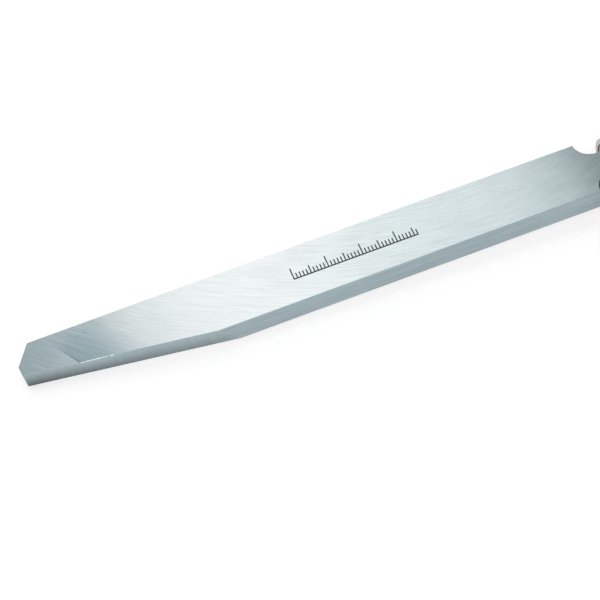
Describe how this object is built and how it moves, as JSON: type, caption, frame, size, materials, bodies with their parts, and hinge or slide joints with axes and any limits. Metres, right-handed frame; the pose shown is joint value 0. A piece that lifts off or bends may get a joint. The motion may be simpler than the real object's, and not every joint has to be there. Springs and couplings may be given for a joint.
{
  "type": "turning tool",
  "caption": "Side-tapered flat steel turning tool with an angled nose, a round ferrule and a turned wooden handle.",
  "frame": {"origin": "the middle of the whole tool's box, on the tool's long axis at the middle of the blade's thickness", "axes": "+X runs along the tool from the nose to the handle's butt, +Z is the outward normal of the blade's upper face, and +Y points to the blade's straight side, away from its tapered side"},
  "size_m": [0.4244, 0.031, 0.031],
  "materials": {
    "blade_steel": "surface-ground, crossed by arc-shaped grinding marks",
    "ferrule_metal": "satin, polished round the tube",
    "handle_wood": "straight-grained pale ash under satin lacquer"
  },
  "bodies": {
    "root": {"blade": "blade_steel", "ferrule": "ferrule_metal", "handle": "handle_wood"}
  },
  "joints": []
}
